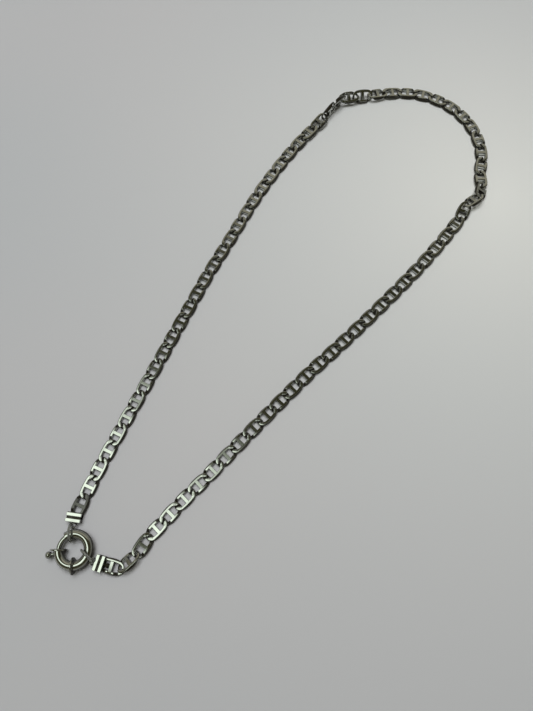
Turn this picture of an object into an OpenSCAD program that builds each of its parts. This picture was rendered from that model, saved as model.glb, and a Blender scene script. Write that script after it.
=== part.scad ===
// Mariner link chain necklace with a spring ring clasp, closed and lying flat.
// Millimetres, +Z up. The origin lies on the surface, below the middle of the necklace's box.
// The clasp end points to -Y. The chain runs from the left end cap up the left side, round the
// top and down the right side to the right end cap.

/* [Links] */
// Length of a link over its two end arcs
link_length = 7.64; // [7.6:0.01:7.66]
// Width of a link over its two rails
link_width = 4.6; // [4.5:0.05:4.65]
// Thickness of a link that lies flat
link_thickness = 1.44; // [1.4:0.01:1.46]
// Distance between the crossbars of two neighbours in a straight stretch
link_pitch = 5.8; // [5.78:0.01:5.82]
// Width of the crossbar
bar_width = 0.95; // [0.85:0.05:1]
// Length over the two windows, from end arc to end arc
window_length = 6.06; // [6.04:0.01:6.1]
// Width of a window between the rails
window_width = 2.28; // [2.24:0.01:2.3]

/* [End caps] */
// Width of an end cap across the chain
cap_width = 4.5; // [4.2:0.1:4.6]
// Height of an end cap over its ribs
cap_height = 2.5; // [2.45:0.05:2.7]
// Distance between the two ribs of a cap
rib_pitch = 1.65; // [1.55:0.05:1.65]
// Height of the slot that the last link sits in
cap_slot = 1.75; // [1.7:0.01:1.8]
// Diameter of the pin that passes through the last link's window
cap_pin_d = 0.6; // [0.5:0.05:0.7]
// Diameter of the hole in the soldered eye
eye_hole_d = 1.6; // [1.55:0.05:1.65]
// Thickness of the eye's wire
eye_wire = 0.4; // [0.35:0.05:0.4]

/* [Bails] */
// Diameter of a bail along the middle of its wire
bail_d = 4.6; // [4.6:0.05:4.65]
// Thickness of a bail's wire
bail_wire = 0.7; // [0.65:0.05:0.7]

/* [Clasp] */
// Outer diameter of the clasp ring
clasp_d = 11.4; // [11.3:0.05:11.45]
// Thickness of the clasp's tube
tube_d = 2.7; // [2.6:0.05:2.75]
// Diameter of the hollow in the tube
tube_bore = 1.9; // [1.8:0.05:2]
// Diameter of the two soldered collars
collar_d = 4.8; // [4.6:0.05:5]
// Thickness of a collar
collar_t = 0.5; // [0.4:0.05:0.6]
// Diameter of the bolt
bolt_d = 1.4; // [1.2:0.05:1.45]
// Diameter of the knob
knob_d = 2; // [1.8:0.1:2.2]
// Width of the slot that the knob's stem runs in
slot_w = 1.1; // [1.05:0.05:1.3]

/* [Hidden] */
$fn = 48;

// Outline of a link: |x / half length| ^ curve + |y / half width| ^ curve = 1
OUTER_CURVE = 2.5;
INNER_CURVE = 2.7;

// Cross-sections of a rail, from the crossbar to the tip. Columns: outer share and inner share of
// the half lengths, lift of the section's middle, half thickness, and the shares of the rail's
// width that the outer and the inner slope take
RAIL = [
    [bar_width / link_length, bar_width / window_length, 0, link_thickness / 2, 0.38, 0.15],
    [0.39, 0.46, 0.15, 0.57, 0.34, 0.19],
    [0.79, 0.78, 0.45, 0.27, 0.24, 0.21],
    [0.98, 0.985, 0.34, 0.28, 0.16, 0.22]];

// One turn round a link. Columns: row of RAIL, sign of x, sign of y
TURN = [
    [0, 1, 1], [1, 1, 1], [2, 1, 1], [3, 1, 1],
    [3, 1, -1], [2, 1, -1], [1, 1, -1], [0, 1, -1],
    [0, -1, -1], [1, -1, -1], [2, -1, -1], [3, -1, -1],
    [3, -1, 1], [2, -1, 1], [1, -1, 1], [0, -1, 1]];
SIDES = 6;

// Where the chain's middle line leaves the left end cap
CHAIN_START = [-5.42, -90.32, 1.2];
// The stretches of the chain. Columns: links, heading of the first and of the last link in degrees
// from +Y towards +X, height of the middle line at the stretch's end, roll of its links in
// degrees, and the share of the full pitch that they take up
STRETCHES = [
    [ 1,   -16,   -16, 0.72,   0, 1],
    [ 2,   -15,   -14, 0.72,   0, 1],
    [12, -12.5,   -12, 0.72,   0, 1],
    [ 5,    -9, -10.5, 0.72,   0, 1],
    [ 4,    -8,    -3, 0.72,   0, 1],
    [ 3,    -1,     5, 1.25,   0, 1],
    [ 1,     5,     5, 2.05,   0, 0.96],
    [ 1,     2,     2, 2.75,  86, 0.95],
    [ 1,     5,     5, 2.15,  80, 0.95],
    [ 1,    43,    43, 2.0,  164, 0.8],
    [ 1,    43,    43, 1.6,  144, 1],
    [ 2,    41,    47, 0.72, 180, 1],
    [ 8,    58,   144, 0.72, 180, 1],
    [ 1,   157,   157, 0.75, 180, 1],
    [ 1,   144,   144, 1.25, 180, 1],
    [ 1,   162,   162, 2.1,  201, 0.9],
    [ 1,   200,   200, 1.55, 160, 0.91],
    [ 1,   170,   170, 0.72, 180, 1],
    [ 4,   181,   184, 0.72, 180, 1],
    [ 9,   186,   190, 0.72, 180, 1],
    [ 8, 187.5, 185.5, 0.72, 180, 1],
    [ 3,   188,   184, 0.72, 180, 1],
    [ 1,   186,   186, 0.75, 180, 1],
    [ 1,   175,   175, 1.5,  180, 1],
    [ 1,   190,   190, 1.45, 154, 1],
    [ 1,   246,   246, 1.15, 180, 0.95]];
// The last link that belongs to the left piece of the chain
LAST_LEFT = 37;

// Heading of an end cap, from the clasp to the chain on the left and back on the right
CAP_HEADING_LEFT = -30;
CAP_HEADING_RIGHT = 248;

// Middle of the clasp ring. It stands on its collars
CLASP = [1.3, -97.27, collar_d / 2];
TUBE_R = (clasp_d - tube_d) / 2;
// Angles round the clasp: ends of the tube, second collar, slot, and the closed bolt
TUBE_FROM = 215;
TUBE_TO = 360 + 163;
COLLAR_MID = 311;
SLOT_FROM = 222;
SLOT_TO = 300;
BOLT_FROM = 158;
BOLT_TO = 240;
KNOB_AT = 229;
KNOB_R = 7.2;
STEM_D = 0.84;

// The bails. Columns: direction of a bail's plane, its tilt from upright, how far its middle lies
// from the eye along that direction and aside, and how far the tube holds it off the surface
BAIL_LEFT_AT = [-43, 0, 2.2, 0.05, 0.01];
BAIL_RIGHT_AT = [177, 13, 2.1, -0.15, 0.2];

// End cap, in its own frame: x = 0 half a pitch beyond the last link's crossbar, +x to the clasp
CAP_FLOOR = 0.3;
CAP_FRONT = -0.75;
CAP_BACK = 2;
CAP_TOP = 2.2;
CAP_CORNER = 0.5;
POCKET_END = 1.1;
RIB_W = 1;
RIB_H = 0.55;
RIB_X = -0.1;
RIB_EDGE = 0.12;
RIB_OVERHANG = 0.15;
PIN_X = -0.45;
// Thickness of an eye's neck
NECK_D = 0.32;
// How much smaller the cutter is that clears an eye's hole
HOLE_TRIM = 0.1;
// The eye of each cap. Columns: distance, height, and lean from level, its far edge up
EYE_LEFT_AT = [3, 1.45, 45];
EYE_RIGHT_AT = [2.7, 2.05, 65];
// Round-ended tongue of the right cap, which lies in the last link's window
TONGUE_X = -1.6;
TONGUE_Z = 1.2;
TONGUE_D = 1.4;
TONGUE_STEM_D = 0.7;

SILVER = [0.75, 0.76, 0.74];

// Half width of an oval outline at x
function oval(half_length, half_width, curve, x) =
    half_width * pow(1 - pow(x / half_length, curve), 1 / curve);

// The six corners of one cross-section. high is 1 or -1: on which side the far rail end is lifted
function rail_section(row, sx, sy, high) =
    let (s = RAIL[row])
    let (xo = s[0] * link_length / 2, xi = s[1] * window_length / 2)
    let (outer = [sx * xo, sy * oval(link_length / 2, link_width / 2, OUTER_CURVE, xo)])
    let (inner = [sx * xi, sy * oval(window_length / 2, window_width / 2, INNER_CURVE, xi)])
    let (top_out = outer + (inner - outer) * s[4], top_in = outer + (inner - outer) * (1 - s[5]))
    let (mid = high * sy * s[2], up = mid + s[3], down = mid - s[3])
    [[outer.x, outer.y, mid], [top_out.x, top_out.y, up], [top_in.x, top_in.y, up],
     [inner.x, inner.y, mid], [top_in.x, top_in.y, down], [top_out.x, top_out.y, down]];

// Index of a corner of the link
function at(section, corner) = (section % len(TURN)) * SIDES + corner % SIDES;
// A four-sided face as two triangles
function split(a, b, c, d) = [[a, b, c], [a, c, d]];
// A face of the crossbar, from its four corners given as [section, corner]
function bar_face(p) = split(at(p[0][0], p[0][1]), at(p[1][0], p[1][1]),
                             at(p[2][0], p[2][1]), at(p[3][0], p[3][1]));

// The rails' faces leave out the inner ones at the crossbar, where its own faces meet them
LINK_FACES = concat(
    [for (j = [0:len(TURN) - 1]) for (e = [0:SIDES - 1])
        if (!((j == 7 || j == 15) && (e == 2 || e == 3)))
            each split(at(j, e), at(j + 1, e), at(j + 1, e + 1), at(j, e + 1))],
    bar_face([[0, 2], [7, 2], [8, 2], [15, 2]]),
    bar_face([[0, 4], [15, 4], [8, 4], [7, 4]]),
    bar_face([[0, 2], [0, 3], [7, 3], [7, 2]]),
    bar_face([[0, 3], [0, 4], [7, 4], [7, 3]]),
    bar_face([[15, 3], [15, 2], [8, 2], [8, 3]]),
    bar_face([[15, 4], [15, 3], [8, 3], [8, 4]]));

// Step along the chain's middle line
function along(heading, climb, length) =
    length * [sin(heading) * cos(climb), cos(heading) * cos(climb), sin(climb)];

// One entry for each link: heading, climb, roll and length of its step
STEPS = [
    for (i = [0:len(STRETCHES) - 1])
        let (s = STRETCHES[i], low = i == 0 ? CHAIN_START.z : STRETCHES[i - 1][3])
        let (step = link_pitch * s[5], climb = asin((s[3] - low) / (step * s[0])))
        for (k = [0:s[0] - 1])
            let (share = s[0] == 1 ? 0 : k / (s[0] - 1))
            [s[1] + (s[2] - s[1]) * share, climb, s[4], step]];
LINKS = len(STEPS);
// The joints between the links, from the left end cap to the right one
JOINTS = [
    for (i = 0, p = CHAIN_START; i <= LINKS;
         p = i < LINKS ? p + along(STEPS[i][0], STEPS[i][1], STEPS[i][3]) : p, i = i + 1) p];

// Middle of a link, counted from 1
function link_middle(n) = (JOINTS[n - 1] + JOINTS[n]) / 2;

// Where each end cap's own frame lies
CAP_LEFT = [CHAIN_START.x, CHAIN_START.y, 0];
LAST_STEP = along(STEPS[LINKS - 1][0], 0, link_pitch / 2);
CAP_RIGHT = [link_middle(LINKS).x + LAST_STEP.x, link_middle(LINKS).y + LAST_STEP.y, 0];
EYE_LEFT = CAP_LEFT - along(CAP_HEADING_LEFT, 0, EYE_LEFT_AT[0]);
EYE_RIGHT = CAP_RIGHT + along(CAP_HEADING_RIGHT, 0, EYE_RIGHT_AT[0]);

// A link in its own frame: x along the chain, y to the left
module link(high) {
    polyhedron(points = [for (t = TURN) each rail_section(t[0], t[1], t[2], high)],
               faces = LINK_FACES, convexity = 4);
}

// The links from one number to another, each turned to its place
module links(first, last) {
    for (n = [first:last]) {
        s = STEPS[n - 1];
        translate(link_middle(n))
            rotate([-s[2], -s[1], 90 - s[0]])
                link(n % 2 == 0 ? 1 : -1);
    }
}

// A round ring in the XY plane, from its diameter along the wire
module wire_ring(diameter, wire) {
    rotate_extrude() translate([diameter / 2, 0]) circle(d = wire);
}

// A rib of an end cap: a bar across the chain with rounded upper edges, its top at z = 0
module rib() {
    rotate([90, 0, 0]) linear_extrude(cap_width, center = true) {
        translate([-RIB_W / 2, -RIB_H]) square([RIB_W, RIB_H - RIB_EDGE]);
        translate([RIB_EDGE - RIB_W / 2, -RIB_H]) square([RIB_W - 2 * RIB_EDGE, RIB_H]);
        for (side = [-1, 1])
            translate([side * (RIB_W / 2 - RIB_EDGE), -RIB_EDGE]) circle(r = RIB_EDGE);
    }
}

// The block of an end cap seen from above, rounded at the back
module cap_outline() {
    half = cap_width / 2 - RIB_OVERHANG;
    translate([CAP_FRONT, -half]) square([CAP_BACK - CAP_CORNER - CAP_FRONT, 2 * half]);
    translate([CAP_FRONT, CAP_CORNER - half])
        square([CAP_BACK - CAP_FRONT, 2 * (half - CAP_CORNER)]);
    for (side = [-1, 1])
        translate([CAP_BACK - CAP_CORNER, side * (half - CAP_CORNER)]) circle(r = CAP_CORNER);
}

// An end cap: a ribbed clamp with a slot for the last link, a pin through that link's window and
// a soldered eye at the back
module end_cap(eye, tongue) {
    pin_h = CAP_FLOOR + cap_slot;
    eye_d = eye_hole_d + eye_wire;
    neck_end = eye[0] - eye_d / 2 * cos(eye[2]);
    difference() {
        union() {
            difference() {
                union() {
                    linear_extrude(CAP_TOP) cap_outline();
                    for (x = [RIB_X, RIB_X + rib_pitch])
                        translate([x, 0, cap_height]) rib();
                }
                translate([CAP_FRONT - 1, -cap_width, CAP_FLOOR])
                    cube([POCKET_END - CAP_FRONT + 1, 2 * cap_width, cap_slot]);
            }
            translate([PIN_X, 0, CAP_FLOOR / 2]) cylinder(d = cap_pin_d, h = pin_h);
            translate([eye[0], 0, eye[1]]) rotate([0, -eye[2], 0]) wire_ring(eye_d, eye_wire);
            translate([POCKET_END, 0, eye[1] - eye_d / 2 * sin(eye[2])]) rotate([0, 90, 0])
                cylinder(d = NECK_D, h = neck_end - POCKET_END);
            if (tongue) {
                translate([TONGUE_X, 0, TONGUE_Z]) sphere(d = TONGUE_D);
                translate([TONGUE_X, 0, TONGUE_Z]) rotate([0, 90, 0])
                    cylinder(d = TONGUE_STEM_D, h = PIN_X - TONGUE_X);
            }
        }
        translate([eye[0], 0, eye[1]]) rotate([0, -eye[2], 0])
            cylinder(d = eye_hole_d - HOLE_TRIM, h = 3 * eye_wire, center = true);
    }
}

// A bail that passes through an eye and goes round the clasp's tube
module bail(eye, place) {
    height = bail_d / 2 * cos(place[1]) + bail_wire / 2 + place[4];
    translate([eye.x, eye.y, height])
        rotate([0, 0, place[0]])
            translate([place[2], place[3], 0])
                rotate([90 + place[1], 0, 0]) wire_ring(bail_d, bail_wire);
}

// A soldered collar on the clasp's tube, at an angle round the clasp
module collar(angle) {
    rotate([0, 0, angle]) translate([TUBE_R, 0, 0]) rotate([-90, 0, 0])
        translate([0, 0, -collar_t / 2]) cylinder(d = collar_d, h = collar_t);
}

// An arc of round bar about the clasp's middle
module clasp_arc(from, to, thickness) {
    rotate([0, 0, from]) rotate_extrude(angle = to - from)
        translate([TUBE_R, 0]) circle(d = thickness);
}

module chain_left() {
    color(SILVER) links(1, LAST_LEFT);
}

module chain_right() {
    color(SILVER) links(LAST_LEFT + 1, LINKS);
}

module end_cap_left() {
    color(SILVER) translate(CAP_LEFT) rotate([0, 0, -90 - CAP_HEADING_LEFT]) end_cap(EYE_LEFT_AT, false);
}

module end_cap_right() {
    color(SILVER) translate(CAP_RIGHT) rotate([0, 0, 90 - CAP_HEADING_RIGHT]) end_cap(EYE_RIGHT_AT, true);
}

module bail_left() {
    color(SILVER) bail(EYE_LEFT, BAIL_LEFT_AT);
}

module bail_right() {
    color(SILVER) bail(EYE_RIGHT, BAIL_RIGHT_AT);
}

module clasp_ring() {
    first_collar = TUBE_FROM + asin(collar_t / 2 / TUBE_R);
    color(SILVER) translate(CLASP) difference() {
        union() {
            clasp_arc(TUBE_FROM, TUBE_TO, tube_d);
            collar(first_collar);
            collar(COLLAR_MID);
        }
        clasp_arc(TUBE_FROM - 5, TUBE_TO + 5, tube_bore);
        rotate([0, 0, SLOT_FROM]) rotate_extrude(angle = SLOT_TO - SLOT_FROM)
            translate([TUBE_R, -slot_w / 2]) square([tube_d, slot_w]);
    }
}

module clasp_bolt() {
    color(SILVER) translate(CLASP) {
        clasp_arc(BOLT_FROM, BOLT_TO, bolt_d);
        rotate([0, 0, KNOB_AT]) {
            translate([TUBE_R, 0, 0]) rotate([0, 90, 0]) cylinder(d = STEM_D, h = KNOB_R - TUBE_R);
            translate([KNOB_R, 0, 0]) sphere(d = knob_d);
        }
    }
}

chain_left();
chain_right();
end_cap_left();
end_cap_right();
bail_left();
bail_right();
clasp_ring();
clasp_bolt();
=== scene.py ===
"""Looks of a silver mariner link chain necklace that lies closed on a pale surface.

Sizes and places of the necklace are millimetres until a finished piece is turned into metres. The
surface, the lights and the camera are in metres.
"""
import math
import random

import bmesh
import bpy
from mathutils import Euler, Matrix, Vector


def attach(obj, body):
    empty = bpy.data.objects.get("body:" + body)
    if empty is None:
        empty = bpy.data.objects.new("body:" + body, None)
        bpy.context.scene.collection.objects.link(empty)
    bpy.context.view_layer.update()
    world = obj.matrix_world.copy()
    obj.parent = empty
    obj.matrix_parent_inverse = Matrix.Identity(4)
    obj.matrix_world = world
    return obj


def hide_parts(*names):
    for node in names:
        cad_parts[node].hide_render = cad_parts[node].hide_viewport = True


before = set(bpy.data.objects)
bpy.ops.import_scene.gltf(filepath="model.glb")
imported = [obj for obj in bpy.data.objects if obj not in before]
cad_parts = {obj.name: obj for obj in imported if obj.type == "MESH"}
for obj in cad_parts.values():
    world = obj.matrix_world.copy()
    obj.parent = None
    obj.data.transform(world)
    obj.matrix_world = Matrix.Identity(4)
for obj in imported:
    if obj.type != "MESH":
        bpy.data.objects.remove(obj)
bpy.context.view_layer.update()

MM = 0.001
BODY = "necklace"
BOLT_BODY = "bolt"

# Links
LINK_LENGTH = 7.64
LINK_WIDTH = 4.6
LINK_PITCH = 5.8
BAR_WIDTH = 0.95
BAR_HALF_HEIGHT = 0.713
BAR_REACH = 1.5
BAR_EDGE = 0.06
OUTER_CURVE = 2.5
INNER_CURVE = 2.7
# Rail of a link from the crossbar to the tip. Columns: share of the half length, lift of the
# section's middle, half thickness, and the shares of its width that the outer and inner slope take
RAIL = (
    (0.124, 0.00, 0.72, 0.34, 0.10),
    (0.50, 0.03, 0.69, 0.30, 0.09),
    (0.66, 0.38, 0.33, 0.16, 0.06),
    (0.79, 0.45, 0.26, 0.12, 0.05),
    (0.98, 0.44, 0.26, 0.08, 0.05),
)
RAIL_BLEND = 0.04
# Where the tips widen as they cross over and under their neighbour: shares of the half length, and
# distances from the middle line
FINGER_SHARES = (0.62, 0.8)
FINGER_HALF_WIDTHS = (0.32, 0.72)
# Forms of a link, the second for sharp bends. Columns: length and width of the window, how much
# further the tips reach into it, the share of its thickness that the rail keeps at the tips, and how
# much earlier it rises or drops, as a share of the half length
LINK_FORMS = (
    (6.06, 2.28, 0.3, 1, 0),
    (6.36, 2.44, 0, 0.8, 0.1),
)
# Links that have the second form
BEND_LINKS = (28, 29, 30, 31, 32, 33, 45, 46, 47, 74, 75)
# Shares of the half length between which a link of the second form grows thinner
THINNING_SHARES = (0.45, 0.62)
# Where the rim's faces drop from one side's level to the other's, past the tip
DROP_MIDDLE = 0.32
DROP_HALF = 0.3
STATIONS = 72
# Rounding of a section's corners: outer edge, top outer, top inner, inner edge
CORNER_RADII = (0.12, 0.1, 0.07, 0.08)
CORNER_STEPS = 3
# Share of a section's side that a rounded corner may take
CORNER_LIMIT = 0.42
# Most that a link is turned from its course, in degrees
LINK_WOBBLE = 0.6
WOBBLE_SEED = 7
# Middle of the rim, and how dark the painted shade makes the slopes outside and inside it
RIM_HALF_LENGTH = 3.42
RIM_HALF_WIDTH = 1.72
OUTER_SHADE = 1.0
INNER_SHADE = 0.5
# The crossbar's side walls: the box that they lie in, and how dark the painted shade makes them
BAR_WALL_X = 0.495
BAR_WALL_Y = 1.2
BAR_WALL_SHADE = 0.15
# Height of a face's normal: below the first it is a wall, above the second it is flat
WALL_NORMALS = (0.62, 0.93)
# Slopes that count as a step, which painted shade darkens over their glints, where the tip begins as
# shares of the half length, and its half widths
STEP_SLOPES = (0.08, 0.17)
TIP_SHARES = (0.64, 0.72)
TIP_HALF_WIDTHS = (0.6, 0.8)
# Painted shade on the link in the left cap's mouth
FIRST_LINK_SHADE = 0.8

# Course of the chain. Columns: links, first heading, last heading, end height, roll, pitch share
CHAIN_START = Vector((-5.42, -90.32, 1.2))
STRETCHES = (
    (1, -16, -16, 0.72, 0, 1),
    (2, -15, -14, 0.72, 0, 1),
    (12, -12.5, -12, 0.72, 0, 1),
    (5, -9, -10.5, 0.72, 0, 1),
    (4, -8, -3, 0.72, 0, 1),
    (3, -1, 5, 1.25, 0, 1),
    (1, 5, 5, 2.05, 0, 0.96),
    (1, 2, 2, 2.75, 86, 0.95),
    (1, 5, 5, 2.15, 80, 0.95),
    (1, 43, 43, 2.0, 164, 0.8),
    (1, 43, 43, 1.6, 144, 1),
    (2, 41, 47, 0.72, 180, 1),
    (8, 58, 144, 0.72, 180, 1),
    (1, 157, 157, 0.75, 180, 1),
    (1, 144, 144, 1.25, 180, 1),
    (1, 162, 162, 2.1, 201, 0.9),
    (1, 200, 200, 1.55, 160, 0.91),
    (1, 170, 170, 0.72, 180, 1),
    (4, 181, 184, 0.72, 180, 1),
    (9, 186, 190, 0.72, 180, 1),
    (8, 187.5, 185.5, 0.72, 180, 1),
    (3, 188, 184, 0.72, 180, 1),
    (1, 186, 186, 0.75, 180, 1),
    (1, 175, 175, 1.5, 180, 1),
    (1, 190, 190, 1.45, 154, 1),
    (1, 246, 246, 1.15, 180, 0.95),
)
LAST_LEFT = 37

# End caps
CAP_WIDTH = 4.5
CAP_HEIGHT = 2.5
CAP_TOP = 2.2
CAP_FLOOR = 0.3
CAP_FRONT = -0.75
CAP_BACK = 2.0
CAP_SLOT = 1.75
CAP_EDGE = 0.09
CAP_SLOT_EDGE = 0.04
# How far the slot is cut past the front
CAP_SLOT_EXTRA = 1
# How far the block's sides lie inside the ribs' ends
CAP_INSET = 0.15
POCKET_END = 1.1
RIB_PITCH = 1.65
RIB_X = -0.1
RIB_W = 1.0
RIB_H = 0.55
RIB_EDGE = 0.12
# Heights over the block's top between which the painted shade fades, and how far past its back an eye
# begins
RIB_RISES = (0.02, 0.16)
CAP_BACK_SKIN = 0.15
PIN_X = -0.45
PIN_D = 0.6
PIN_OVERLAP = 0.06
EYE_HOLE = 1.6
EYE_WIRE = 0.4
# How much of the painted shade the eye keeps
EYE_SHADE = 0.35
NECK_D = 0.46
NECK_INTO_CAP = 0.3
NECK_INTO_EYE = 0.05
CAP_HEADING_LEFT = -30
CAP_HEADING_RIGHT = 248
# Eye of each cap: distance, height and lean
EYE_LEFT = (3.0, 1.45, 45)
EYE_RIGHT = (2.7, 2.05, 65)
TONGUE_X = -1.6
TONGUE_Z = 1.2
TONGUE_D = 1.4
TONGUE_STEM_D = 0.7

# Bails: direction of the plane, tilt, offsets along and aside, and height over the surface
BAIL_D = 4.6
BAIL_WIRE = 0.7
BAIL_TARNISH = 0.5
BAIL_LEFT = (-43, 0, 2.2, 0.05, 0.01)
BAIL_RIGHT = (177, 13, 2.1, -0.15, 0.2)

# Clasp
CLASP = Vector((1.3, -97.27, 2.4))
TUBE_R = 4.35
TUBE_D = 2.7
TUBE_BORE = 1.9
TUBE_FROM = 215
TUBE_TO = 523
TUBE_STEPS = 120
COLLAR_D = 4.8
COLLAR_T = 0.5
COLLAR_EDGE = 0.18
COLLAR_MID = 311
SLOT_FROM = 222
SLOT_TO = 300
SLOT_W = 1.1
SLOT_STEPS = 36
# How far the bore is cut past the tube's ends, in degrees
BORE_EXTRA = 5
# Points nearer the middle of the tube's wire than its radius less this are inside it
TUBE_SKIN = 0.06
BOLT_D = 1.4
NOSE_STEPS = 8
BOLT_FROM = 158
BOLT_TO = 240
KNOB_AT = 229
KNOB_R = 7.2
KNOB_D = 2.0
STEM_D = 0.84
# Heights of a round piece's normal between which the painted shade fades
ROUND_NORMALS = (0.35, 0.93)
# Angle in degrees between faces that makes an edge sharp
SHARP_ANGLE = 50


# Meshes

def mesh_object(name, verts, faces):
    """A smooth-shaded object from points and faces."""
    mesh = bpy.data.meshes.new(name)
    mesh.from_pydata([tuple(v) for v in verts], [], faces)
    mesh.validate()
    mesh.shade_smooth()
    obj = bpy.data.objects.new(name, mesh)
    bpy.context.scene.collection.objects.link(obj)
    return obj


def facing_out(obj):
    """Turns all faces outward."""
    bm = bmesh.new()
    bm.from_mesh(obj.data)
    bmesh.ops.recalc_face_normals(bm, faces=bm.faces)
    bm.to_mesh(obj.data)
    bm.free()
    return obj


def combine(base, others, operation="UNION"):
    """Base joined with, or cut by, the other objects, which are used up."""
    for other in others:
        cut = base.modifiers.new("combine", "BOOLEAN")
        cut.operation = operation
        cut.solver = "EXACT"
        cut.object = other
    bpy.context.view_layer.update()
    shape = base.evaluated_get(bpy.context.evaluated_depsgraph_get())
    made = bpy.data.meshes.new_from_object(shape)
    base.modifiers.clear()
    base.data = made
    for other in others:
        bpy.data.objects.remove(other)
    return base


def tube_grid(rings, closed):
    """Faces of a tube through equal rings of points, with its ends filled if it isn't closed."""
    sides = len(rings[0])
    count = len(rings)
    verts = [p for ring in rings for p in ring]
    faces = []
    for i in range(count if closed else count - 1):
        for k in range(sides):
            a = i * sides + k
            b = i * sides + (k + 1) % sides
            j = (i + 1) % count
            faces.append((a, b, j * sides + (k + 1) % sides, j * sides + k))
    if not closed:
        faces.append(tuple(range(sides))[::-1])
        faces.append(tuple((count - 1) * sides + k for k in range(sides)))
    return verts, faces


def lathe(name, profile, steps=48):
    """A solid turned round Z from a profile of (radius, height); its ends lie on the axis."""
    rings = [[(r * math.cos(2 * math.pi * k / steps), r * math.sin(2 * math.pi * k / steps), z)
              for k in range(steps)] for r, z in profile[1:-1]]
    verts, faces = tube_grid(rings, closed=False)
    faces = faces[:-2]
    low, high = len(verts), len(verts) + 1
    verts += [(0, 0, profile[0][1]), (0, 0, profile[-1][1])]
    last = (len(rings) - 1) * steps
    for k in range(steps):
        faces.append((low, (k + 1) % steps, k))
        faces.append((high, last + k, last + (k + 1) % steps))
    return facing_out(mesh_object(name, verts, faces))


def rounded_disc_profile(radius, half_height, edge, steps=5):
    """Profile of a disc with round edges, centred on its height."""
    corner = [(radius - edge + edge * math.sin(a), half_height - edge + edge * math.cos(a))
              for a in (math.pi / 2 * k / steps for k in range(steps + 1))]
    top = [(0, half_height)] + corner
    return [(r, -h) for r, h in top] + [(r, h) for r, h in reversed(top)]


def ball(name, diameter, centre, steps=32):
    """A sphere about a point."""
    r = diameter / 2
    half = steps // 2
    profile = [(r * math.sin(math.pi * k / half), -r * math.cos(math.pi * k / half))
               for k in range(half + 1)]
    obj = lathe(name, profile, steps)
    obj.data.transform(Matrix.Translation(centre))
    return obj


def rod(name, start, end, diameter, edge=0.05, steps=32):
    """A round bar between two points, with round edges."""
    start, end = Vector(start), Vector(end)
    length = (end - start).length
    obj = lathe(name, rounded_disc_profile(diameter / 2, length / 2, edge), steps)
    turn = (end - start).to_track_quat("Z", "Y").to_matrix().to_4x4()
    obj.data.transform(Matrix.Translation((start + end) / 2) @ turn)
    return obj


def wire_ring(name, diameter, wire, steps=112, sides=24):
    """A round ring about Z."""
    rings = []
    for i in range(steps):
        a = 2 * math.pi * i / steps
        spoke = Vector((math.cos(a), math.sin(a), 0))
        rings.append([spoke * (diameter / 2 + wire / 2 * math.cos(2 * math.pi * k / sides))
                      + Vector((0, 0, wire / 2 * math.sin(2 * math.pi * k / sides)))
                      for k in range(sides)])
    verts, faces = tube_grid(rings, closed=True)
    return facing_out(mesh_object(name, verts, faces))


def slab(name, low, high, edge):
    """A box with round edges."""
    bm = bmesh.new()
    bmesh.ops.create_cube(bm, size=1)
    size = Vector(high) - Vector(low)
    middle = (Vector(high) + Vector(low)) / 2
    for v in bm.verts:
        v.co = Vector(v.co[i] * size[i] + middle[i] for i in range(3))
    bmesh.ops.bevel(bm, geom=bm.edges[:], offset=edge, segments=3, profile=0.5, affect="EDGES")
    mesh = bpy.data.meshes.new(name)
    bm.to_mesh(mesh)
    bm.free()
    mesh.shade_smooth()
    obj = bpy.data.objects.new(name, mesh)
    bpy.context.scene.collection.objects.link(obj)
    return obj


def smoothstep(low, high, x):
    """0 below low, 1 above high, and smooth between them."""
    t = min(1, max(0, (x - low) / (high - low)))
    return t * t * (3 - 2 * t)


def tarnish_and_shade(obj, rule):
    """Stores how much painted shade and tarnish darken each point, from its place and its normal."""
    mesh = obj.data
    layer = mesh.attributes.new("tarnish_and_shade", "FLOAT", "POINT")
    values = [rule(v.co, v.normal) for v in mesh.vertices]
    layer.data.foreach_set("value", values)
    return obj


# The link

def rail_at(share):
    """Lift, half thickness and slopes of the rail, smoothed along its length."""
    samples = []
    for k in (-2, -1, 0, 1, 2):
        q = min(RAIL[-1][0], max(RAIL[0][0], share + k * RAIL_BLEND / 2))
        i = max(n for n in range(len(RAIL) - 1) if RAIL[n][0] <= q or n == 0)
        a, b = RAIL[i], RAIL[i + 1]
        t = (q - a[0]) / (b[0] - a[0])
        samples.append([a[c] + (b[c] - a[c]) * t for c in range(1, 5)])
    return [sum(column) / len(samples) for column in zip(*samples)]


def on_oval(length, width, curve, angle):
    """Point of an oval outline at an angle."""
    c, s = math.cos(angle), math.sin(angle)
    return Vector((math.copysign(abs(c) ** (2 / curve), c) * length / 2,
                   math.copysign(abs(s) ** (2 / curve), s) * width / 2, 0))


def rounded(corners, radii):
    """A closed section with its corners rounded."""
    points = []
    for i, corner in enumerate(corners):
        to_last = corners[i - 1] - corner
        to_next = corners[(i + 1) % len(corners)] - corner
        r = min(radii[i], CORNER_LIMIT * to_last.length, CORNER_LIMIT * to_next.length)
        a = corner + to_last.normalized() * r
        b = corner + to_next.normalized() * r
        for k in range(CORNER_STEPS):
            t = k / (CORNER_STEPS - 1)
            points.append(a * (1 - t) ** 2 + corner * 2 * t * (1 - t) + b * t ** 2)
    return points


def level(y):
    """From -1 on the low side to 1 on the high side."""
    return 2 * smoothstep(-DROP_HALF, DROP_HALF, y) - 1


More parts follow.
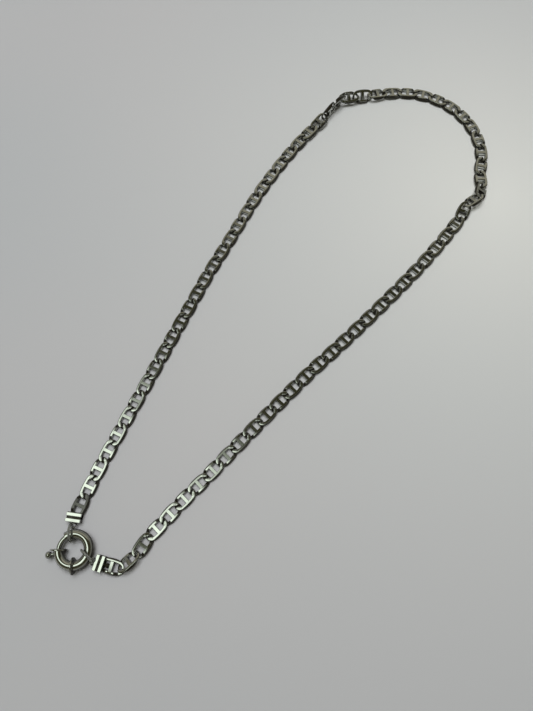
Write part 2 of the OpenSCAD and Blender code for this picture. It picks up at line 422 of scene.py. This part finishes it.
def rail_section(angle, high, form):
    """Cross-section of the link's rim. high is 1 or -1: on which side the far end is lifted."""
    window_length, window_width, reach, kept, earlier = form
    outer = on_oval(LINK_LENGTH, LINK_WIDTH, OUTER_CURVE, angle)
    inner = on_oval(window_length, window_width, INNER_CURVE, angle)
    share = abs(outer.x) / (LINK_LENGTH / 2)
    finger = (reach * smoothstep(*FINGER_SHARES, share)
              * smoothstep(*FINGER_HALF_WIDTHS, abs(outer.y)))
    inner += (inner - outer).normalized() * finger
    lift, half, slope_out, slope_in = rail_at(share + earlier)
    half *= 1 - (1 - kept) * smoothstep(*THINNING_SHARES, share)
    top = lift * level(high * outer.y + DROP_MIDDLE) + half
    bottom = lift * level(high * outer.y - DROP_MIDDLE) - half
    middle = Vector((0, 0, (top + bottom) / 2))
    up = Vector((0, 0, (top - bottom) / 2))
    out = outer.lerp(inner, slope_out)
    into = outer.lerp(inner, 1 - slope_in)
    corners = [outer + middle, out + middle + up, into + middle + up,
               inner + middle, into + middle - up, out + middle - up]
    edge, top_out, top_in, inside = CORNER_RADII
    return rounded(corners, (edge, top_out, top_in, inside, top_in, top_out))


def link_painted_shade(co, normal):
    """Painted shade: dark outer slopes and steps over their glints, greyer walls, and flats left
    bright.
    """
    x, y = abs(co.x), abs(co.y)
    wall = 1 - smoothstep(*WALL_NORMALS, abs(normal.z))
    if x < BAR_WALL_X and y < BAR_WALL_Y:
        return BAR_WALL_SHADE * wall
    rim = (x / RIM_HALF_LENGTH) ** OUTER_CURVE + (y / RIM_HALF_WIDTH) ** OUTER_CURVE
    slope = OUTER_SHADE if rim > 1 else INNER_SHADE
    on_rail = 1 - smoothstep(*TIP_SHARES, x / (LINK_LENGTH / 2))
    step = on_rail * smoothstep(*STEP_SLOPES, abs(normal.x))
    on_tip = 1 - smoothstep(*TIP_HALF_WIDTHS, y)
    drop = on_tip * smoothstep(*STEP_SLOPES, abs(normal.y))
    return max(step, drop, slope * wall)


def make_link(name, high, form):
    """One link with its crossbar, as one solid."""
    rings = [rail_section(2 * math.pi * (i + 0.5) / STATIONS, high, form) for i in range(STATIONS)]
    verts, faces = tube_grid(rings, closed=True)
    rim = facing_out(mesh_object(name, verts, faces))
    bar = slab(name + "_bar", (-BAR_WIDTH / 2, -BAR_REACH, -BAR_HALF_HEIGHT),
               (BAR_WIDTH / 2, BAR_REACH, BAR_HALF_HEIGHT), BAR_EDGE)
    return tarnish_and_shade(combine(rim, [bar]), link_painted_shade)


# The chain

def along(heading, climb, length):
    """Step in a direction: heading from +Y towards +X, climb from level, in degrees."""
    h, c = math.radians(heading), math.radians(climb)
    return length * Vector((math.sin(h) * math.cos(c), math.cos(h) * math.cos(c), math.sin(c)))


def chain_steps():
    """Heading, climb, roll and length of each link's step."""
    steps = []
    low = CHAIN_START.z
    for count, first, last, end, roll, share in STRETCHES:
        step = LINK_PITCH * share
        climb = math.degrees(math.asin((end - low) / (step * count)))
        for k in range(count):
            heading = first + (last - first) * (k / (count - 1) if count > 1 else 0)
            steps.append((heading, climb, roll, step))
        low = end
    return steps


def link_places():
    """Middle and turn of each link, in order."""
    chance = random.Random(WOBBLE_SEED)
    places = []
    at = CHAIN_START.copy()
    for heading, climb, roll, step in chain_steps():
        move = along(heading, climb, step)
        wobble = [math.radians(chance.uniform(-LINK_WOBBLE, LINK_WOBBLE)) for _ in range(2)]
        turn = Euler((math.radians(-roll) + wobble[0], math.radians(-climb) + wobble[1],
                      math.radians(90 - heading)))
        places.append((at + move / 2, turn.to_matrix()))
        at += move
    return places


def chain_piece(name, first, last, kinds, places):
    """The links from one number to another, joined into one mesh."""
    verts, faces, values = [], [], []
    for n in range(first, last + 1):
        mesh = kinds[n in BEND_LINKS][n % 2].data
        middle, turn = places[n - 1]
        base = len(verts)
        verts += [(turn @ v.co + middle) * MM for v in mesh.vertices]
        faces += [[base + i for i in p.vertices] for p in mesh.polygons]
        # The first link, in the left cap's mouth, gets painted shade
        least = FIRST_LINK_SHADE if n == 1 else 0
        values += [max(least, item.value) for item in mesh.attributes["tarnish_and_shade"].data]
    obj = mesh_object(name, verts, faces)
    layer = obj.data.attributes.new("tarnish_and_shade", "FLOAT", "POINT")
    layer.data.foreach_set("value", values)
    return obj


# The caps, the bails and the clasp

def cap_painted_shade(co, normal):
    """Painted shade: bright rib tops, dark grooves and slot, and a lighter eye."""
    on_rib = smoothstep(*(CAP_TOP + rise for rise in RIB_RISES), co.z)
    eye = EYE_SHADE if co.x > CAP_BACK + CAP_BACK_SKIN else 1
    return (1 - on_rib) * eye


def make_cap(name, eye, tongue):
    """A ribbed clamp with a slot for the last link, its pin and its soldered eye."""
    reach, height, lean = eye
    half = CAP_WIDTH / 2 - CAP_INSET
    eye_d = EYE_HOLE + EYE_WIRE
    block = slab(name, (CAP_FRONT, -half, 0), (CAP_BACK, half, CAP_TOP), CAP_EDGE)
    slot = slab("slot", (CAP_FRONT - CAP_SLOT_EXTRA, -CAP_WIDTH, CAP_FLOOR),
                (POCKET_END, CAP_WIDTH, CAP_FLOOR + CAP_SLOT), CAP_SLOT_EDGE)
    ribs = [slab("rib", (x - RIB_W / 2, -CAP_WIDTH / 2, CAP_HEIGHT - RIB_H),
                 (x + RIB_W / 2, CAP_WIDTH / 2, CAP_HEIGHT), RIB_EDGE)
            for x in (RIB_X, RIB_X + RIB_PITCH)]
    combine(block, ribs)
    combine(block, [slot], "DIFFERENCE")
    ring = wire_ring("eye", eye_d, EYE_WIRE, steps=64, sides=16)
    tilt = Matrix.Rotation(math.radians(-lean), 4, "Y")
    ring.data.transform(Matrix.Translation((reach, 0, height)) @ tilt)
    near_x = reach - eye_d / 2 * math.cos(math.radians(lean))
    near_z = height - eye_d / 2 * math.sin(math.radians(lean))
    neck = rod("neck", (CAP_BACK - NECK_INTO_CAP, 0, near_z),
               (near_x + NECK_INTO_EYE, 0, near_z), NECK_D)
    pin = rod("pin", (PIN_X, 0, CAP_FLOOR / 2),
              (PIN_X, 0, CAP_FLOOR + CAP_SLOT + PIN_OVERLAP), PIN_D)
    extra = [ring, neck, pin]
    if tongue:
        end = Vector((TONGUE_X, 0, TONGUE_Z))
        extra.append(ball("tongue", TONGUE_D, end))
        extra.append(rod("stem", end, (PIN_X, 0, TONGUE_Z), TONGUE_STEM_D))
    return tarnish_and_shade(combine(block, extra), cap_painted_shade)


def clasp_spoke(angle):
    """Unit vector from the clasp's middle, at an angle in degrees."""
    a = math.radians(angle)
    return Vector((math.cos(a), math.sin(a), 0))


def clasp_arc(name, start, end, thickness, round_ends=False, steps=96, sides=32):
    """A round bar bent about the clasp's middle, from one angle to another."""
    r = thickness / 2
    nose = []
    if round_ends:
        width = math.degrees(r / TUBE_R)
        nose = [(width * (1 - math.cos(a)), math.sin(a))
                for a in (math.pi / 2 * k / NOSE_STEPS for k in range(1, NOSE_STEPS))]
        first, last = start + width, end - width
    else:
        first, last = start, end
    stops = [(start + w, scale) for w, scale in nose]
    stops += [(first + (last - first) * i / steps, 1) for i in range(steps + 1)]
    stops += [(end - w, scale) for w, scale in reversed(nose)]
    rings = []
    for angle, scale in stops:
        spoke = clasp_spoke(angle)
        rings.append([spoke * (TUBE_R + r * scale * math.cos(2 * math.pi * k / sides))
                      + Vector((0, 0, r * scale * math.sin(2 * math.pi * k / sides)))
                      for k in range(sides)])
    verts, faces = tube_grid(rings, closed=False)
    return facing_out(mesh_object(name, verts, faces))


def round_painted_shade(co, normal):
    """Painted shade low on the sides of round pieces."""
    return 1 - smoothstep(*ROUND_NORMALS, normal.z)


def clasp_painted_shade(co, normal):
    """Painted shade as on round pieces, and dark inside the tube and in its slot."""
    spoke = Vector((co.x, co.y, 0))
    inside = math.hypot(spoke.length - TUBE_R, co.z) < TUBE_D / 2 - TUBE_SKIN
    return 1 if inside else round_painted_shade(co, normal)


def make_collar(angle):
    """A soldered collar round the tube, at an angle in degrees."""
    collar = lathe("collar", rounded_disc_profile(COLLAR_D / 2, COLLAR_T / 2, COLLAR_EDGE), steps=64)
    place = Matrix.Rotation(math.radians(angle), 4, "Z") @ Matrix.Translation((TUBE_R, 0, 0))
    collar.data.transform(place @ Matrix.Rotation(-math.pi / 2, 4, "X"))
    return collar


def make_clasp_ring(name):
    """The clasp's tube with two collars and the knob's slot."""
    tube = clasp_arc(name, TUBE_FROM, TUBE_TO, TUBE_D, steps=TUBE_STEPS)
    first_collar = TUBE_FROM + math.degrees(math.asin(COLLAR_T / 2 / TUBE_R))
    combine(tube, [make_collar(first_collar), make_collar(COLLAR_MID)])
    bore = clasp_arc("bore", TUBE_FROM - BORE_EXTRA, TUBE_TO + BORE_EXTRA, TUBE_BORE,
                     steps=TUBE_STEPS)
    rings = []
    up = Vector((0, 0, SLOT_W / 2))
    for i in range(SLOT_STEPS + 1):
        spoke = clasp_spoke(SLOT_FROM + (SLOT_TO - SLOT_FROM) * i / SLOT_STEPS)
        rings.append([spoke * TUBE_R - up, spoke * (TUBE_R + TUBE_D) - up,
                      spoke * (TUBE_R + TUBE_D) + up, spoke * TUBE_R + up])
    verts, faces = tube_grid(rings, closed=False)
    slot = facing_out(mesh_object("slot", verts, faces))
    combine(tube, [bore, slot], "DIFFERENCE")
    return tarnish_and_shade(tube, clasp_painted_shade)


def make_bolt(name):
    """The bolt with its round nose, stem and knob."""
    bar = clasp_arc(name, BOLT_FROM, BOLT_TO, BOLT_D, round_ends=True)
    spoke = clasp_spoke(KNOB_AT)
    stem = rod("stem", spoke * TUBE_R, spoke * KNOB_R, STEM_D)
    knob = ball("knob", KNOB_D, spoke * KNOB_R)
    return tarnish_and_shade(combine(bar, [stem, knob]), round_painted_shade)


def finish_piece(obj, place, body, nodes, material):
    """Places a piece, turns it into metres, ties it to its body, and hides the nodes it stands for."""
    if place is not None:
        obj.data.transform(Matrix.Scale(MM, 4) @ place)
    weighted = obj.modifiers.new("even normals", "WEIGHTED_NORMAL")
    weighted.keep_sharp = True
    weighted.weight = 100
    obj.data.set_sharp_from_angle(angle=math.radians(SHARP_ANGLE))
    obj.data.materials.clear()
    obj.data.materials.append(material)
    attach(obj, body)
    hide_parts(*nodes)


# Materials

# SILVER_DARK is the colour that painted shade and tarnish blend the silver towards
SILVER_BRIGHT = (0.80, 0.82, 0.77)
SILVER_DARK = (0.03, 0.026, 0.018)
SILVER_ROUGHNESS = 0.1
SILVER_SPECULAR = 0.2
# Tarnish and painted shade below which the silver is all metal, how much of the metal is left where
# they are full, and how rough it is then
METAL_LIMIT = 0.25
DARKENED_METAL = 0.15
DARKENED_ROUGHNESS = 0.3
# Blotches of tarnish: fineness, the shares of the noise that count, and what they add
BLOTCH_SCALE = 420
BLOTCH_SHARES = (0.3, 0.7)
BLOTCH_ADDS = (-0.08, 0.12)
SCRATCH_SCALE = 1500
SCRATCH_STRENGTH = 0.15
SCRATCH_DEPTH = 0.00001

FLOOR_COOL = (0.595, 0.62, 0.655)
FLOOR_WARM = (0.69, 0.66, 0.68)
# Colour of the pool of light painted on the surface
FLOOR_PAINTED_LIGHT = (0.98, 0.97, 0.95)
FLOOR_CLOUD_SCALE = 7
FLOOR_ROUGHNESS = 0.7
FLOOR_SPECULAR = 0.25
# Middle of the pool of light painted on the surface, and how far it reaches
FLOOR_GLOW_AT = (0.037, 0.078, 0)
FLOOR_GLOW_SIZE = 0.2


def set_socket(tree, socket, value):
    """Gives a socket a colour or a number, or links it to another socket."""
    if isinstance(value, tuple):
        socket.default_value = (*value, 1)
    elif isinstance(value, (int, float)):
        socket.default_value = value
    else:
        tree.links.new(value, socket)


def noise(tree, vector, scale, detail):
    """Soft noise over a vector."""
    node = tree.nodes.new("ShaderNodeTexNoise")
    node.inputs["Scale"].default_value = scale
    node.inputs["Detail"].default_value = detail
    tree.links.new(vector, node.inputs["Vector"])
    return node.outputs["Fac"]


def remap(tree, value, source, target=(0, 1), smooth=False):
    """A value carried from one range to another, and held at its ends."""
    node = tree.nodes.new("ShaderNodeMapRange")
    if smooth:
        node.interpolation_type = "SMOOTHSTEP"
    for name, end in zip(("From Min", "From Max", "To Min", "To Max"), (*source, *target)):
        node.inputs[name].default_value = end
    tree.links.new(value, node.inputs["Value"])
    return node.outputs["Result"]


def calculate(tree, operation, a, b, clamp=False):
    """A sum, difference or product of two values."""
    node = tree.nodes.new("ShaderNodeMath")
    node.operation = operation
    node.use_clamp = clamp
    for socket, value in zip(node.inputs, (a, b)):
        set_socket(tree, socket, value)
    return node.outputs["Value"]


def blend(tree, share, a, b):
    """Colour between two others."""
    node = tree.nodes.new("ShaderNodeMix")
    node.data_type = "RGBA"
    tree.links.new(share, node.inputs["Factor"])
    set_socket(tree, node.inputs["A"], a)
    set_socket(tree, node.inputs["B"], b)
    return node.outputs["Result"]


def new_material(name):
    """An empty material: its node tree, its shader and its place on the object."""
    mat = bpy.data.materials.new(name)
    mat.use_nodes = True
    tree = mat.node_tree
    place = tree.nodes.new("ShaderNodeTexCoord").outputs["Object"]
    return mat, tree, tree.nodes["Principled BSDF"], place


def silver(name):
    """Polished silver, darkened by the painted shade and tarnish stored on each point and by blotches
    of tarnish.
    """
    mat, tree, shader, place = new_material(name)
    # Painted shade and tarnish stored on each point
    shade_and_tarnish = tree.nodes.new("ShaderNodeAttribute")
    shade_and_tarnish.attribute_name = "tarnish_and_shade"
    blotch = noise(tree, place, BLOTCH_SCALE, detail=4)
    spread = remap(tree, blotch, BLOTCH_SHARES, BLOTCH_ADDS)
    amount = calculate(tree, "ADD", shade_and_tarnish.outputs["Fac"], spread, clamp=True)
    colour = blend(tree, amount, SILVER_BRIGHT, SILVER_DARK)
    gloss = remap(tree, amount, (0, 1), (SILVER_ROUGHNESS, DARKENED_ROUGHNESS))
    metal = remap(tree, amount, (METAL_LIMIT, 1), (1, DARKENED_METAL))
    bump = tree.nodes.new("ShaderNodeBump")
    bump.inputs["Strength"].default_value = SCRATCH_STRENGTH
    bump.inputs["Distance"].default_value = SCRATCH_DEPTH
    tree.links.new(noise(tree, place, SCRATCH_SCALE, detail=3), bump.inputs["Height"])
    for socket, value in (("Base Color", colour), ("Roughness", gloss), ("Metallic", metal),
                          ("Normal", bump.outputs["Normal"])):
        tree.links.new(value, shader.inputs[socket])
    shader.inputs["Specular IOR Level"].default_value = SILVER_SPECULAR
    return mat


def paper():
    """Pale matt surface with a painted pool of light about one spot."""
    mat, tree, shader, place = new_material("pale_surface")
    spot = tree.nodes.new("ShaderNodeMapping")
    spot.vector_type = "TEXTURE"
    spot.inputs["Location"].default_value = FLOOR_GLOW_AT
    spot.inputs["Scale"].default_value = (FLOOR_GLOW_SIZE,) * 3
    tree.links.new(place, spot.inputs["Vector"])
    glow = tree.nodes.new("ShaderNodeTexGradient")
    glow.gradient_type = "QUADRATIC_SPHERE"
    tree.links.new(spot.outputs["Vector"], glow.inputs["Vector"])
    cloud = noise(tree, place, FLOOR_CLOUD_SCALE, detail=1)
    tint = blend(tree, cloud, FLOOR_COOL, FLOOR_WARM)
    lit = blend(tree, glow.outputs["Fac"], tint, FLOOR_PAINTED_LIGHT)
    tree.links.new(lit, shader.inputs["Base Color"])
    shader.inputs["Roughness"].default_value = FLOOR_ROUGHNESS
    shader.inputs["Specular IOR Level"].default_value = FLOOR_SPECULAR
    return mat


# Building the necklace

polished = silver("silver_chain")
clasp_silver = silver("silver_clasp")

places = link_places()
kinds = [[make_link("link_even", 1, form), make_link("link_odd", -1, form)] for form in LINK_FORMS]
for name, first, last in (("chain_left", 1, LAST_LEFT), ("chain_right", LAST_LEFT + 1, len(places))):
    piece = chain_piece(name + "_links", first, last, kinds, places)
    finish_piece(piece, None, BODY, [name], polished)
for kind in sum(kinds, []):
    bpy.data.objects.remove(kind)

last_heading = chain_steps()[-1][0]
cap_left_at = Vector((CHAIN_START.x, CHAIN_START.y, 0))
cap_right_at = places[-1][0] + along(last_heading, 0, LINK_PITCH / 2)
cap_right_at.z = 0
eye_left_at = cap_left_at - along(CAP_HEADING_LEFT, 0, EYE_LEFT[0])
eye_right_at = cap_right_at + along(CAP_HEADING_RIGHT, 0, EYE_RIGHT[0])

for name, at, turn, eye, tongue in (
        ("end_cap_left", cap_left_at, -90 - CAP_HEADING_LEFT, EYE_LEFT, False),
        ("end_cap_right", cap_right_at, 90 - CAP_HEADING_RIGHT, EYE_RIGHT, True)):
    cap = make_cap(name + "_body", eye, tongue)
    place = Matrix.Translation(at) @ Matrix.Rotation(math.radians(turn), 4, "Z")
    finish_piece(cap, place, BODY, [name], clasp_silver)

for name, eye_at, (turn, tilt, reach, aside, lift) in (
        ("bail_left", eye_left_at, BAIL_LEFT), ("bail_right", eye_right_at, BAIL_RIGHT)):
    height = BAIL_D / 2 * math.cos(math.radians(tilt)) + BAIL_WIRE / 2 + lift
    place = (Matrix.Translation((eye_at.x, eye_at.y, height))
             @ Matrix.Rotation(math.radians(turn), 4, "Z")
             @ Matrix.Translation((reach, aside, 0))
             @ Matrix.Rotation(math.radians(90 + tilt), 4, "X"))
    ring = tarnish_and_shade(wire_ring(name + "_ring", BAIL_D, BAIL_WIRE), lambda co, normal: BAIL_TARNISH)
    finish_piece(ring, place, BODY, [name], clasp_silver)

at_clasp = Matrix.Translation(CLASP)
finish_piece(make_clasp_ring("clasp_tube"), at_clasp, BODY, ["clasp_ring"], clasp_silver)
finish_piece(make_bolt("clasp_bolt_bar"), at_clasp, BOLT_BODY, ["clasp_bolt"], clasp_silver)

# The surface

floor = mesh_object("floor", [(-1, -1, 0), (1, -1, 0), (1, 1, 0), (-1, 1, 0)], [(0, 1, 2, 3)])
floor.data.materials.append(paper())

# Light: a window on the clasp's side, a dark room, a dim wall behind the far end, and a lamp

WINDOW = (1.1, 1.2, 1.07)
ROOM = (0.034, 0.032, 0.017)
WALL = (0.27, 0.255, 0.205)
HORIZON = (0.16, 0.155, 0.13)
# Soft edges in the direction that is looked in: the window's four, the wall's, and the horizon's
WINDOW_WEST = (-0.62, -0.46)
WINDOW_EAST = (0.0, 0.15)
WINDOW_SOUTH = (-0.38, -0.32)
WINDOW_NORTH = (-0.13, 0.12)
WALL_SLANT = -0.87
WALL_EDGE = (0.58, 0.78)
HORIZON_EDGE = (0.25, 0.6)

LAMP_AT = (-0.15, 0.13, 0.9)
LAMP_SIZE = 0.6
LAMP_POWER = 4.95
LAMP_COLOUR = (0.975, 1.0, 1.0)


def world_light():
    """A sky that depends on direction alone."""
    world = bpy.data.worlds.new("room")
    bpy.context.scene.world = world
    world.use_nodes = True
    tree = world.node_tree
    direction = tree.nodes.new("ShaderNodeTexCoord")
    split = tree.nodes.new("ShaderNodeSeparateXYZ")
    tree.links.new(direction.outputs["Generated"], split.inputs["Vector"])
    x, y, z = (split.outputs[k] for k in "XYZ")

    def between(value, rising, falling):
        fall = calculate(tree, "SUBTRACT", 1, remap(tree, value, falling, smooth=True))
        return calculate(tree, "MULTIPLY", remap(tree, value, rising, smooth=True), fall)

    slant = calculate(tree, "MULTIPLY", x, WALL_SLANT)
    wall = remap(tree, calculate(tree, "ADD", y, slant), WALL_EDGE, smooth=True)
    window = calculate(tree, "MULTIPLY", between(x, WINDOW_WEST, WINDOW_EAST),
                       between(y, WINDOW_SOUTH, WINDOW_NORTH))
    high = remap(tree, z, HORIZON_EDGE, smooth=True)
    light = blend(tree, window, blend(tree, wall, ROOM, WALL), WINDOW)
    background = tree.nodes["Background"]
    tree.links.new(blend(tree, high, HORIZON, light), background.inputs["Color"])
    background.inputs["Strength"].default_value = 1.0


def soft_lamp(name, at, size, power, colour):
    """A large soft lamp that lights the surface and leaves the reflections alone."""
    lamp = bpy.data.lights.new(name, "AREA")
    lamp.shape = "DISK"
    lamp.size = size
    lamp.energy = power
    lamp.color = colour
    obj = bpy.data.objects.new(name, lamp)
    obj.location = at
    obj.rotation_euler = (-Vector(at)).to_track_quat("-Z", "Y").to_euler()
    obj.visible_glossy = False
    bpy.context.scene.collection.objects.link(obj)


world_light()
soft_lamp("overhead", LAMP_AT, LAMP_SIZE, LAMP_POWER, LAMP_COLOUR)

# The camera, at the photograph's place over the necklace

CAMERA_AT = (0.0451, -0.05607, 0.16312)
CAMERA_TILT = 18.1
CAMERA_HEADING = 42.85
CAMERA_ROLL = -5.3
CAMERA_CLIP = 0.005
# Focal length as a share of the picture's height
FOCAL_SHARE = 533 / 711
SENSOR = 36

lens = bpy.data.cameras.new("camera")
lens.sensor_width = SENSOR
lens.lens = SENSOR * FOCAL_SHARE
lens.clip_start = CAMERA_CLIP
camera = bpy.data.objects.new("camera", lens)
turn = (Matrix.Rotation(math.radians(CAMERA_HEADING), 4, "Z")
        @ Matrix.Rotation(math.radians(CAMERA_TILT), 4, "X")
        @ Matrix.Rotation(math.radians(CAMERA_ROLL), 4, "Z"))
camera.matrix_world = Matrix.Translation(CAMERA_AT) @ turn
bpy.context.scene.collection.objects.link(camera)
bpy.context.scene.camera = camera
bpy.context.scene.view_settings.view_transform = "Standard"
